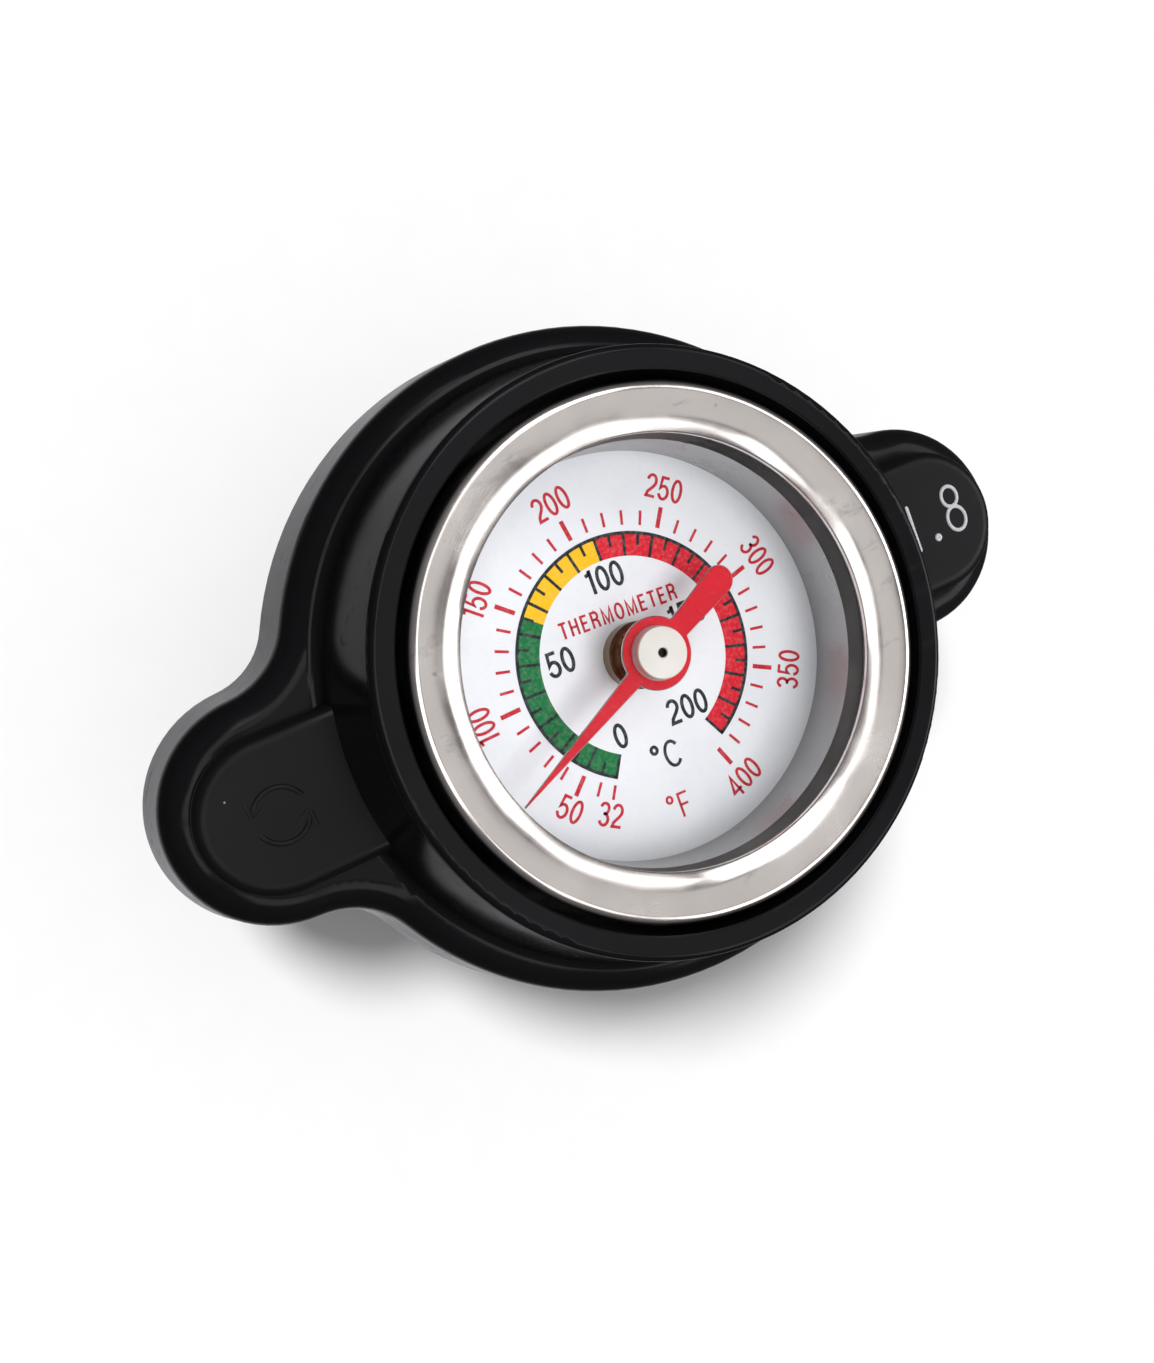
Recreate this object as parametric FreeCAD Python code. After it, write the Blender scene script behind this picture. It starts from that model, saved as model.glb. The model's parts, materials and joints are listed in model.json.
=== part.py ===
import FreeCAD, Part
import math
import os

# Radiator pressure cap with a dial thermometer on top, all sizes in millimetres.
# +Z is the cap's axis towards the dial, +X runs along the two ears, and the origin
# is the centre of the upper gasket's underside, where the cap sits on the filler neck.

V = FreeCAD.Vector
UP = V(0, 0, 1)

# ---- driving dimensions -------------------------------------------------------------
RIM_Z = 12.4                # outer edge of the cup's rim
RIM_R = 19.2
RIM_BORE_R = 17.56          # recess that the bezel sits in
RIM_CREST_Z = 12.87

FLANGE_R = 23.6             # round part of the skirt's outline, at the bottom
FLANGE_BOTTOM_Z = -3.67
FLANGE_TOP_Z = 4.1
FLANGE_DRAFT = 0.85         # how far the outline draws in from bottom to top
FLANGE_EDGE_R = 2.2
WALL_FOOT_R = 20.5          # cup wall where it meets the flange

EAR_R = 8.15                # round end of each ear
EAR_X = 24.85
EAR_BLEND_R = 5.0           # hollow curve between ear and flange

PAD_HALF_WIDTH = 5.1        # raised thumb pad on each ear
PAD_END_X = 25.5
PAD_TOP_Z = 5.8
PAD_EDGE_R = 0.95

SHELL_R = 18.0              # steel bayonet shell inside the cover
SHELL_T = 0.8
SHELL_TOP_Z = 3.2
SHELL_BOTTOM_Z = -4.4
LUG_REACH_R = 15.3
LUG_HALF_ANGLE = 28.0
KEY_COUNT = 6
FIT = 0.05                  # running and assembly clearance

FLOOR_TOP_Z = 5.05          # cover's floor under the gauge
CASE_R = 15.9
CASE_WALL = 0.35
CASE_TOP_Z = 11.1
CASE_FLANGE_R = 16.35

DIAL_TOP_Z = 6.05
DIAL_R = 15.4
SIGHT_R = 13.65             # clear radius inside the spacer ring
LENS_R = 15.9
LENS_BOTTOM_Z = 11.15
LENS_T = 0.9

BEZEL_R = 16.95
BEZEL_TOP_Z = 13.25
BEZEL_LIP_R = 13.67
BEZEL_LIP_DROP = 0.47       # inner cone of the bezel falls this far to the lip

NEEDLE_REST_DEG = -155.5    # needle's direction at room temperature
NEEDLE_LENGTH = 13.1
TAIL_LENGTH = 7.5
POINTER_TOP_Z = 9.95
POINTER_T = 0.2
PIN_TOP_Z = 10.9
SPINDLE_R = 0.5

PROBE_R = 2.5               # stainless stem that dips into the coolant
PROBE_BORE_R = 2.0
PROBE_TIP_Z = -24.0

GASKET_IN_R = 11.4
GASKET_OUT_R = 15.1
GASKET_T = 2.1
DISC_T = 0.3

RIVET_R = 3.6
RIVET_HEAD_R = 5.4
RIVET_COLLAR_R = 5.0

CAGE_R = 10.6               # slotted cage around the pressure spring
CAGE_WALL = 0.7
CAGE_TOP_Z = 2.05
CAGE_FLANGE_T = 0.63
CAGE_BOTTOM_Z = -10.7
SLOT_COUNT = 6
SLOT_WIDTH = 5.0

HUB_R = 8.0                 # tubular hub that carries the pressure seal
SEAL_Z = -16.5              # face that closes the lower seat of the neck
SEAL_R = 11.9
SEAL_FACE_IN_R = 8.6
SLEEVE_R = 3.2


# ---- small helpers ------------------------------------------------------------------
def tube(outer, inner, low, high):
    """A ring or tube about the Z axis; inner 0 makes it solid."""
    body = Part.makeCylinder(outer, high - low, V(0, 0, low))
    if inner > 0:
        body = body.cut(Part.makeCylinder(inner, high - low + 2, V(0, 0, low - 1)))
    return body


def turned(points):
    """Turn a closed outline of (radius, height) points about Z. A triple marks the middle of an arc."""
    edges = []
    place = [V(p[0], 0, p[1]) for p in points]
    count = len(points)
    index = 0
    while index < count:
        after = (index + 1) % count
        if len(points[after]) == 3:
            end = (index + 2) % count
            edges.append(Part.Arc(place[index], place[after], place[end]).toShape())
            index += 2
        else:
            edges.append(Part.LineSegment(place[index], place[after]).toShape())
            index += 1
    return Part.Face(Part.Wire(edges)).revolve(V(0, 0, 0), UP, 360)


def arc_mid(centre_r, centre_z, radius, degrees):
    """Middle point of an arc in an outline for turned()."""
    angle = math.radians(degrees)
    return (centre_r + radius * math.cos(angle), centre_z + radius * math.sin(angle), "mid")


def spin(shape, degrees):
    copy = shape.copy()
    copy.rotate(V(0, 0, 0), UP, degrees)
    return copy


def ring_of(shape, count, first=0.0):
    return [spin(shape, first + 360.0 * i / count) for i in range(count)]


def coil(radius, wire, low, high, turns):
    """Helix of twelve-sided wire that stays between two heights."""
    sides = 12
    height = high - low - 2 * wire
    path = Part.makeHelix(height / turns, height, radius)
    corners = []
    for i in range(sides + 1):
        angle = 2 * math.pi * (i % sides) / sides
        corners.append(V(radius + wire * math.cos(angle), 0, wire * math.sin(angle)))
    body = Part.Wire(path.Edges).makePipeShell([Part.makePolygon(corners)], True, True)
    body.translate(V(0, 0, low + wire))
    return body


def save(node, shape):
    if not shape.isValid():
        print("not valid:", node)
    shape.exportStep("parts/" + node + ".step")
    print("%-20s solids %d volume %.1f mm3" % (node, len(shape.Solids), shape.Volume))


# ---- cover --------------------------------------------------------------------------
def ear_outline(inset, height):
    """Plan of the skirt: a circle, two round ears on X and four hollow blends, as one wire."""
    body_r = FLANGE_R - inset
    ear_r = EAR_R - inset
    blend_r = EAR_BLEND_R + inset
    to_body = body_r + blend_r
    to_ear = ear_r + blend_r
    blend_x = (EAR_X ** 2 + to_body ** 2 - to_ear ** 2) / (2 * EAR_X)
    blend_y = math.sqrt(to_body ** 2 - blend_x ** 2)
    on_body = (blend_x * body_r / to_body, blend_y * body_r / to_body)
    on_ear = (EAR_X + (blend_x - EAR_X) * ear_r / to_ear, blend_y * ear_r / to_ear)

    def arc(*points):
        return Part.Arc(*[V(x, y, height) for x, y in points]).toShape()

    def hollow_mid():
        # middle of the short arc between the two tangent points
        mx = (on_body[0] + on_ear[0]) / 2 - blend_x
        my = (on_body[1] + on_ear[1]) / 2 - blend_y
        size = math.hypot(mx, my)
        return (blend_x + mx / size * blend_r, blend_y + my / size * blend_r)

    def at(p, side_x, side_y):
        return (side_x * p[0], side_y * p[1])

    mid = hollow_mid()
    edges = []
    for x, y in ((1, 1), (-1, 1), (-1, -1), (1, -1)):
        edges.append(arc(at(on_ear, x, y), at(mid, x, y), at(on_body, x, y)))
    for x in (1, -1):
        edges.append(arc(at(on_ear, x, -1), (x * (EAR_X + ear_r), 0), at(on_ear, x, 1)))
    for y in (1, -1):
        edges.append(arc(at(on_body, 1, y), (0, y * body_r), at(on_body, -1, y)))
    return Part.Wire(Part.__sortEdges__(edges))


def edges_at(shape, height, inside_r=0.0):
    """Edges that lie level at one height, further out than inside_r at some point."""
    found = []
    for edge in shape.Edges:
        box = edge.BoundBox
        level = abs(box.ZMin - height) < 1e-4 and abs(box.ZMax - height) < 1e-4
        far = max(math.hypot(v.X, v.Y) for v in edge.Vertexes)
        if level and far > inside_r:
            found.append(edge)
    return found


def make_skirt():
    low = ear_outline(0.0, FLANGE_BOTTOM_Z)
    high = ear_outline(FLANGE_DRAFT, FLANGE_TOP_Z)
    skirt = Part.makeLoft([low, high], True, True)
    skirt = skirt.makeFillet(FLANGE_EDGE_R, edges_at(skirt, FLANGE_TOP_Z))
    return skirt.makeFillet(0.5, edges_at(skirt, FLANGE_BOTTOM_Z))


def make_pad(side):
    base_z = FLANGE_TOP_Z - 1.0
    start_x = SHELL_R
    near_left = V(start_x, PAD_HALF_WIDTH, base_z)
    near_right = V(start_x, -PAD_HALF_WIDTH, base_z)
    far_left = V(PAD_END_X, PAD_HALF_WIDTH, base_z)
    far_right = V(PAD_END_X, -PAD_HALF_WIDTH, base_z)
    tip = V(PAD_END_X + PAD_HALF_WIDTH, 0, base_z)
    edges = [
        Part.LineSegment(near_right, far_right).toShape(),
        Part.Arc(far_right, tip, far_left).toShape(),
        Part.LineSegment(far_left, near_left).toShape(),
        Part.LineSegment(near_left, near_right).toShape(),
    ]
    pad = Part.Face(Part.Wire(edges)).extrude(V(0, 0, PAD_TOP_Z - base_z))
    rim = [e for e in edges_at(pad, PAD_TOP_Z) if e.BoundBox.XMax > start_x + 0.01]
    pad = pad.makeFillet(PAD_EDGE_R, rim)
    return pad if side > 0 else spin(pad, 180)


def make_cup_wall():
    """The round cup that holds the gauge, with its rim and the hollow sweep at its foot."""
    foot_z = FLANGE_TOP_Z
    return turned([
        (SHELL_R, foot_z - 1.2),
        (WALL_FOOT_R + 1.0, foot_z - 1.2),
        (WALL_FOOT_R + 0.9, foot_z),
        arc_mid(WALL_FOOT_R + 0.9, foot_z + 0.9, 0.9, 225),
        (WALL_FOOT_R, foot_z + 0.9),
        (RIM_R - 0.15, RIM_Z - 0.35),
        (RIM_R, RIM_Z - 0.25),
        (RIM_R, RIM_Z),
        arc_mid(RIM_R - 0.55, RIM_Z, 0.55, 50),
        (RIM_R - 0.6, RIM_Z + 0.53),
        (RIM_BORE_R + 0.12, RIM_CREST_Z + 0.04),
        (RIM_BORE_R, RIM_CREST_Z - 0.1),
        (RIM_BORE_R, foot_z - 0.5),
        (SHELL_R, foot_z - 0.5),
    ])


def make_cover():
    body = make_skirt()
    for part in (make_cup_wall(), make_pad(1), make_pad(-1)):
        body = body.fuse(part)
    body = body.cut(tube(SHELL_R + FIT, 0, FLANGE_BOTTOM_Z - 1, SHELL_TOP_Z))
    body = body.cut(tube(RIM_BORE_R, 0, 9.7, RIM_Z + 2))
    body = body.cut(tube(CASE_R + 0.1, 0, FLOOR_TOP_Z, 10.0))
    body = body.cut(tube(3.75, 0, SHELL_TOP_Z - 1, FLOOR_TOP_Z + 1))
    body = body.cut(tube(RIVET_COLLAR_R + 0.1, 0, SHELL_TOP_Z - 1, 3.9))
    groove = Part.makeBox(0.65, 2.1, 6.1, V(SHELL_R - 0.1, -1.05, -4.0))
    for one in ring_of(groove, KEY_COUNT, 30.0):
        body = body.cut(one)
    for side in (1, -1):
        dish = Part.makeCylinder(4.6, 0.6, V(side * (EAR_X + 0.9), 0, FLANGE_BOTTOM_Z))
        body = body.cut(dish)
    return body.removeSplitter()


# ---- gauge --------------------------------------------------------------------------
def make_bezel():
    return turned([
        (BEZEL_R, 9.95),
        (BEZEL_R, BEZEL_TOP_Z - 0.7),
        arc_mid(BEZEL_R - 0.75, BEZEL_TOP_Z - 0.72, 0.73, 42),
        (16.17, BEZEL_TOP_Z),
        (14.95, BEZEL_TOP_Z - 0.05),
        (BEZEL_LIP_R + 0.08, BEZEL_TOP_Z - BEZEL_LIP_DROP),
        (BEZEL_LIP_R, BEZEL_TOP_Z - BEZEL_LIP_DROP - 0.08),
        (BEZEL_LIP_R, BEZEL_TOP_Z - 0.82),
        (16.42, BEZEL_TOP_Z - 0.82),
        (16.42, 10.45),
        (16.0, 10.45),
        (16.0, 10.1),
        (16.15, 9.95),
    ])


def make_case():
    inner = CASE_R - CASE_WALL
    return turned([
        (PROBE_R, FLOOR_TOP_Z + 0.05),
        (CASE_R - 0.4, FLOOR_TOP_Z + 0.05),
        arc_mid(CASE_R - 0.4, FLOOR_TOP_Z + 0.45, 0.4, 315),
        (CASE_R, FLOOR_TOP_Z + 0.45),
        (CASE_R, 10.5),
        (CASE_FLANGE_R, 10.5),
        (CASE_FLANGE_R, CASE_TOP_Z),
        (inner, CASE_TOP_Z),
        (inner, 5.5),
        (PROBE_R, 5.5),
    ])


def make_dial():
    return tube(DIAL_R, 2.0, 5.55, DIAL_TOP_Z)


def make_spacer():
    return turned([
        (SIGHT_R, DIAL_TOP_Z + 0.02),
        (CASE_R - CASE_WALL - 0.05, DIAL_TOP_Z + 0.02),
        (CASE_R - CASE_WALL - 0.05, CASE_TOP_Z),
        (SIGHT_R + 0.1, CASE_TOP_Z),
        (SIGHT_R, CASE_TOP_Z - 0.1),
    ])


def make_lens():
    lens = tube(LENS_R, 0, LENS_BOTTOM_Z, LENS_BOTTOM_Z + LENS_T)
    return lens.makeChamfer(0.1, edges_at(lens, LENS_BOTTOM_Z + LENS_T))


def make_lens_gasket():
    return tube(LENS_R, 14.2, LENS_BOTTOM_Z + LENS_T + 0.01, BEZEL_TOP_Z - 0.84)


def make_bushing():
    """Brass upper guide: a stepped boss on the dial and a shank pressed into the stem."""
    return turned([
        (SPINDLE_R + FIT, 2.0),
        (PROBE_BORE_R, 2.0),
        (PROBE_BORE_R, DIAL_TOP_Z + 0.01),
        (2.25, DIAL_TOP_Z + 0.01),
        (2.25, 7.2),
        (2.1, 7.35),
        (1.75, 7.35),
        (1.75, 7.8),
        (SPINDLE_R + FIT, 7.8),
    ])


def make_probe_tube():
    return tube(PROBE_R, PROBE_BORE_R, -23.2, 5.5)


def make_probe_plug():
    return turned([
        (0.0, PROBE_TIP_Z),
        (1.7, PROBE_TIP_Z),
        arc_mid(1.7, PROBE_TIP_Z + 0.8, 0.8, 315),
        (PROBE_R, PROBE_TIP_Z + 0.8),
        (PROBE_BORE_R, PROBE_TIP_Z + 0.8),
        (PROBE_BORE_R, -22.4),
        (0.0, -22.4),
    ])


def make_needle():
    """Flat pointer along +X before it is turned to its rest direction."""
    low = POINTER_TOP_Z - POINTER_T
    tail_r = 0.98

    def blade(points):
        corners = [V(x, y, low) for x, y in points]
        return Part.Face(Part.makePolygon(corners + corners[:1])).extrude(V(0, 0, POINTER_T))

    front = blade([(1.5, -0.62), (NEEDLE_LENGTH, -0.06), (NEEDLE_LENGTH, 0.06), (1.5, 0.62)])
    back = blade([(-1.5, -0.7), (-1.5, 0.7), (tail_r - TAIL_LENGTH, tail_r), (tail_r - TAIL_LENGTH, -tail_r)])
    knob = Part.makeCylinder(tail_r, POINTER_T, V(tail_r - TAIL_LENGTH, 0, low))
    disc = Part.makeCylinder(2.4, POINTER_T, V(0, 0, low))
    plate = disc.fuse(front).fuse(back).fuse(knob)
    plate = plate.cut(Part.makeCylinder(SPINDLE_R, 2, V(0, 0, low - 1)))
    return spin(plate.removeSplitter(), NEEDLE_REST_DEG)


def make_pin():
    """Nickel cap on the pointer, with a centre dimple."""
    return turned([
        (0.0, 10.35),
        (SPINDLE_R, 10.35),
        (SPINDLE_R, POINTER_TOP_Z),
        (1.78, POINTER_TOP_Z),
        (1.78, POINTER_TOP_Z + 0.2),
        (1.7, POINTER_TOP_Z + 0.28),
        (1.7, PIN_TOP_Z - 0.12),
        (1.6, PIN_TOP_Z),
        (0.36, PIN_TOP_Z),
        (0.3, PIN_TOP_Z - 0.06),
        (0.3, PIN_TOP_Z - 0.4),
        (0.0, PIN_TOP_Z - 0.4),
    ])


def make_pointer_boss():
    return tube(1.45, SPINDLE_R, 7.95, POINTER_TOP_Z - POINTER_T)


# ---- neck side ----------------------------------------------------------------------
def make_shell():
    """Zinc-plated steel cap: a disc, a skirt, drive keys and two bayonet lugs."""
    inner = SHELL_R - SHELL_T
    cup = turned([
        (RIVET_R, SHELL_TOP_Z - SHELL_T),
        (inner, SHELL_TOP_Z - SHELL_T),
        (inner, SHELL_BOTTOM_Z),
        (SHELL_R, SHELL_BOTTOM_Z),
        (SHELL_R, SHELL_TOP_Z - 0.6),
        arc_mid(SHELL_R - 0.6, SHELL_TOP_Z - 0.6, 0.6, 45),
        (SHELL_R - 0.6, SHELL_TOP_Z),
        (RIVET_R, SHELL_TOP_Z),
    ])
    key = Part.makeBox(0.9, 2.0, 5.0, V(SHELL_R - 0.4, -1.0, -3.2))
    for one in ring_of(key, KEY_COUNT, 30.0):
        cup = cup.fuse(one)
    lug = turned_sector(LUG_REACH_R, inner + 0.3, SHELL_BOTTOM_Z, SHELL_BOTTOM_Z + SHELL_T, LUG_HALF_ANGLE)
    for one in ring_of(lug, 2, 90.0):
        cup = cup.fuse(one)
    return cup.removeSplitter()


def turned_sector(inner, outer, low, high, half_angle):
    """Part of a flat ring, centred on +X."""
    corners = [V(inner, 0, low), V(outer, 0, low), V(outer, 0, high), V(inner, 0, high)]
    face = Part.Face(Part.makePolygon(corners + corners[:1]))
    return spin(face.revolve(V(0, 0, 0), UP, 2 * half_angle), -half_angle)


def make_rivet():
    """Hollow rivet that holds the shell and lets the valve cage swivel."""
    return turned([
        (PROBE_R + 0.1, 0.8),
        (RIVET_HEAD_R - 0.25, 0.8),
        (RIVET_HEAD_R, 1.05),
        (RIVET_HEAD_R, 1.35),
        (RIVET_R, 1.35),
        (RIVET_R, SHELL_TOP_Z),
        (RIVET_COLLAR_R, SHELL_TOP_Z),
        (RIVET_COLLAR_R, 3.6),
        (RIVET_COLLAR_R - 0.25, 3.85),
        (PROBE_R + 0.1, 3.85),
    ])


def make_stem_oring():
    return Part.makeTorus(3.12, 0.59, V(0, 0, 4.48))


def make_probe_retainer():
    """Push-on toothed washer that keeps the gauge's stem down in the rivet."""
    washer = tube(4.6, PROBE_R, 0.2, 0.75)
    notch = Part.makeBox(1.5, 0.7, 2.0, V(PROBE_R - 0.4, -0.35, -0.5))
    for one in ring_of(notch, 6):
        washer = washer.cut(one)
    return washer


def make_cage():
    inner = CAGE_R - CAGE_WALL
    cage = tube(CAGE_R, inner, CAGE_BOTTOM_Z, CAGE_TOP_Z)
    flange = tube(CAGE_R + 0.4, RIVET_R + FIT, CAGE_TOP_Z - CAGE_FLANGE_T, CAGE_TOP_Z)
    cage = cage.fuse(flange)
    slot = Part.makeBox(3.0, SLOT_WIDTH, 7.0, V(inner - 1.0, -SLOT_WIDTH / 2, -8.3))
    corners = [e for e in slot.Edges if abs(e.BoundBox.XLength - 3.0) < 1e-6]
    slot = slot.makeFillet(1.0, corners)
    for one in ring_of(slot, SLOT_COUNT):
        cage = cage.cut(one)
    vent = Part.makeCylinder(0.8, 4, V(7.6, 0, 0))
    for one in ring_of(vent, SLOT_COUNT, 30.0):
        cage = cage.cut(one)
    return cage.removeSplitter()


def make_cage_ring():
    return tube(CAGE_R - CAGE_WALL, HUB_R + 0.2, CAGE_BOTTOM_Z + 0.1, -10.0)


def make_pressure_plate():
    """Hat-shaped plate: a collar that rests on the cage's ring, a tubular hub and a web."""
    inner = HUB_R - 0.7
    return turned([
        (5.4, -14.0),
        (HUB_R, -14.0),
        (HUB_R, -9.95),
        (9.6, -9.95),
        (9.6, -9.25),
        (inner + 0.3, -9.25),
        (inner, -9.55),
        (inner, -13.4),
        (5.4, -13.4),
    ])


def make_seal_plate():
    return turned([
        (5.4, -14.8),
        (SEAL_R - 0.45, -14.8),
        (SEAL_R - 0.45, -15.7),
        (SEAL_R, -15.7),
        (SEAL_R, -14.4),
        arc_mid(SEAL_R - 0.4, -14.4, 0.4, 45),
        (SEAL_R - 0.4, -14.0),
        (5.4, -14.0),
    ])


def make_pressure_seal():
    outer = SEAL_R - 0.45
    return turned([
        (5.4, -14.8),
        (5.4, -15.2),
        (6.4, -15.2),
        (6.4, -15.9),
        (SEAL_FACE_IN_R - 0.3, -15.9),
        (SEAL_FACE_IN_R, SEAL_Z),
        (outer - 0.2, SEAL_Z),
        (outer, SEAL_Z + 0.2),
        (outer, -14.8),
    ])


def make_seal_eyelet():
    return turned([
        (4.7, -15.6),
        (6.3, -15.6),
        (6.3, -15.2),
        (5.4, -15.2),
        (5.4, -13.4),
        (6.2, -13.4),
        (6.2, -13.1),
        (4.7, -13.1),
    ])


def make_vacuum_valve():
    """Brass disc on a sleeve that slides on the stem."""
    bore = PROBE_R + 0.06
    return turned([
        (bore, -17.2),
        (SLEEVE_R, -17.2),
        (SLEEVE_R, -16.5),
        (7.5, -16.5),
        (7.6, -16.4),
        (7.6, -15.95),
        (6.6, -15.95),
        (6.6, -16.1),
        (SLEEVE_R, -16.1),
        (SLEEVE_R, -9.9),
        (SLEEVE_R - 0.25, -9.9),
        (SLEEVE_R - 0.25, -9.5),
        (SLEEVE_R, -9.5),
        (SLEEVE_R, -9.3),
        (SLEEVE_R - 0.1, -9.2),
        (bore, -9.2),
    ])


def make_vacuum_circlip():
    clip = tube(6.0, SLEEVE_R - 0.25, -9.9, -9.5)
    gap = Part.makeBox(4.0, 1.6, 2.0, V(2.0, -0.8, -10.5))
    return clip.cut(gap)


# ---- write every node ---------------------------------------------------------------
def main():
    os.makedirs("parts", exist_ok=True)
    nodes = {
        "cover": make_cover(),
        "bezel_ring": make_bezel(),
        "lens_glass": make_lens(),
        "lens_gasket": make_lens_gasket(),
        "spacer_ring": make_spacer(),
        "gauge_case": make_case(),
        "dial_plate": make_dial(),
        "brass_bushing": make_bushing(),
        "probe_tube": make_probe_tube(),
        "probe_plug": make_probe_plug(),
        "bimetal_coil": coil(1.4, 0.2, -22.35, -8.7, 9),
        "guide_bush": tube(PROBE_BORE_R, SPINDLE_R + FIT, -7.6, -6.6),
        "stem_oring": make_stem_oring(),
        "probe_retainer": make_probe_retainer(),
        "centre_rivet": make_rivet(),
        "bayonet_shell": make_shell(),
        "spring_disc": tube(15.8, RIVET_R, GASKET_T, GASKET_T + DISC_T),
        "upper_gasket": tube(GASKET_OUT_R, GASKET_IN_R, 0.0, GASKET_T),
        "pointer": make_needle(),
        "pointer_pin": make_pin(),
        "pointer_boss": make_pointer_boss(),
        "spindle": tube(SPINDLE_R, 0, -9.4, 10.35),
        "coil_collar": tube(1.1, SPINDLE_R, -9.4, -8.6),
        "valve_cage": make_cage(),
        "cage_ring": make_cage_ring(),
        "pressure_spring": coil(8.45, 0.7, -9.2, CAGE_TOP_Z - CAGE_FLANGE_T - FIT, 5),
        "pressure_plate": make_pressure_plate(),
        "seal_plate": make_seal_plate(),
        "pressure_seal": make_pressure_seal(),
        "seal_eyelet": make_seal_eyelet(),
        "vacuum_valve": make_vacuum_valve(),
        "vacuum_circlip": make_vacuum_circlip(),
        "vacuum_spring": coil(5.3, 0.17, -13.05, -9.95, 4),
    }
    for node, shape in nodes.items():
        save(node, shape)


main()
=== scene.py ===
import json
import math

import bmesh
import bpy
from mathutils import Matrix, Vector


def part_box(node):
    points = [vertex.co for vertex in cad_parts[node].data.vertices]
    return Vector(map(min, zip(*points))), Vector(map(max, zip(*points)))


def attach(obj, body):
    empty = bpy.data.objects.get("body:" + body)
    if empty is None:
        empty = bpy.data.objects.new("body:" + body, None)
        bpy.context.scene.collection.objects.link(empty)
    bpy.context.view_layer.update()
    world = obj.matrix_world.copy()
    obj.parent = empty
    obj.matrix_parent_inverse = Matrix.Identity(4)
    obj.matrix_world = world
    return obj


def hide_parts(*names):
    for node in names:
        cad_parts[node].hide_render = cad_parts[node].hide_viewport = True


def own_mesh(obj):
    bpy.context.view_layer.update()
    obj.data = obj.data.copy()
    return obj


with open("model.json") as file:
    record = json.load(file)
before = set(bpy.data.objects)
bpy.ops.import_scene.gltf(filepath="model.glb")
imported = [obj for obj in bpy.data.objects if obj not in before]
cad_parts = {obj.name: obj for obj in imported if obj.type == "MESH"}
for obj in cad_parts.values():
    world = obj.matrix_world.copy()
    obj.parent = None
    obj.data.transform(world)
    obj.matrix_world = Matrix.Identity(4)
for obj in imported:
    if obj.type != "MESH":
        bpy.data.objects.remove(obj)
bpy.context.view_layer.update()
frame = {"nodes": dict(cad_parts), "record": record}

# A radiator pressure cap with a dial thermometer. Outlines below are in millimetres in the
# row frame, and MM turns them into Blender's metres.
MM = 0.001
ROUND = 256                     # segments of a turned piece

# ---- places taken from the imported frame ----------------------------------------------
DIAL_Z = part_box("dial_plate")[1].z / MM
LENS_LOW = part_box("lens_glass")[0].z / MM
LENS_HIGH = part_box("lens_glass")[1].z / MM
BEZEL_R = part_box("bezel_ring")[1].x / MM
BEZEL_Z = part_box("bezel_ring")[1].z / MM
POINTER_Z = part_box("pointer")[1].z / MM
PIN_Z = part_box("pointer_pin")[1].z / MM
FLOOR_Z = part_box("probe_plug")[0].z / MM

# ---- sizes shared by several pieces --------------------------------------------------
PAD_Z = 5.8                     # top of the ears' thumb pads
SIGHT_R = 13.65                 # clear radius inside the spacer
LIP_R = 13.67                   # clear radius inside the bezel's lip
LIP_DROP = 0.82                 # from the bezel's top to the underside of its lip
LENS_R = 15.9

# ---- the dial's scale ----------------------------------------------------------------
DEG_PER_C = 1.5
DIAL_TURN = -2.35               # the printed plate sits slightly turned in the case
BAND_IN, BAND_OUT, BAND_LINE = 6.65, 8.12, 8.30
INK_T = 0.012                   # thickness of one printed layer
RED_TEXT, BLACK_TEXT = 1.62, 1.68
NUMBER_R = 11.45                # radius on which most red numbers stand
NEEDLE_REST = math.radians(-155.5)


# ---- mesh helpers --------------------------------------------------------------------
def polar(radius, degrees, centre=(0.0, 0.0)):
    """Point on a circle, as (x, y)."""
    a = math.radians(degrees)
    return (centre[0] + radius * math.cos(a), centre[1] + radius * math.sin(a))


def new_object(name, verts, faces, smooth_deg=None):
    """A mesh object from points in millimetres, with smooth shading below smooth_deg."""
    mesh = bpy.data.meshes.new(name)
    mesh.from_pydata([Vector(v) * MM for v in verts], [], faces)
    mesh.validate()
    mesh.update()
    obj = bpy.data.objects.new(name, mesh)
    bpy.context.scene.collection.objects.link(obj)
    if smooth_deg is not None:
        smooth(obj, smooth_deg)
    return obj


def smooth(obj, degrees):
    """Shade smooth, with an edge kept sharp where its faces turn by more than degrees."""
    mesh = obj.data
    mesh.shade_smooth()
    mesh.set_sharp_from_angle(angle=math.radians(degrees))


def rounded(points, step_deg=6.0):
    """Outline with each (x, y, "mid") point and its two neighbours turned into an arc."""
    out = []
    count = len(points)
    for i, p in enumerate(points):
        if len(p) == 2:
            out.append(p)
            continue
        a, b, c = Vector(points[i - 1]), Vector(p[:2]), Vector(points[(i + 1) % count])
        out.extend(arc_through(a, b, c, step_deg))
    return out


def arc_through(a, b, c, step_deg):
    """Points strictly between a and c on the circle through a, b and c."""
    d = 2 * (a.x * (b.y - c.y) + b.x * (c.y - a.y) + c.x * (a.y - b.y))
    sa, sb, sc = a.length_squared, b.length_squared, c.length_squared
    centre = Vector((
        (sa * (b.y - c.y) + sb * (c.y - a.y) + sc * (a.y - b.y)) / d,
        (sa * (c.x - b.x) + sb * (a.x - c.x) + sc * (b.x - a.x)) / d,
    ))
    radius = (a - centre).length
    start = math.atan2(a.y - centre.y, a.x - centre.x)
    end = math.atan2(c.y - centre.y, c.x - centre.x)
    turn = (end - start + math.pi) % (2 * math.pi) - math.pi
    steps = max(2, math.ceil(abs(math.degrees(turn)) / step_deg))
    return [
        (centre.x + radius * math.cos(start + turn * k / steps),
         centre.y + radius * math.sin(start + turn * k / steps))
        for k in range(1, steps)
    ]


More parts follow.
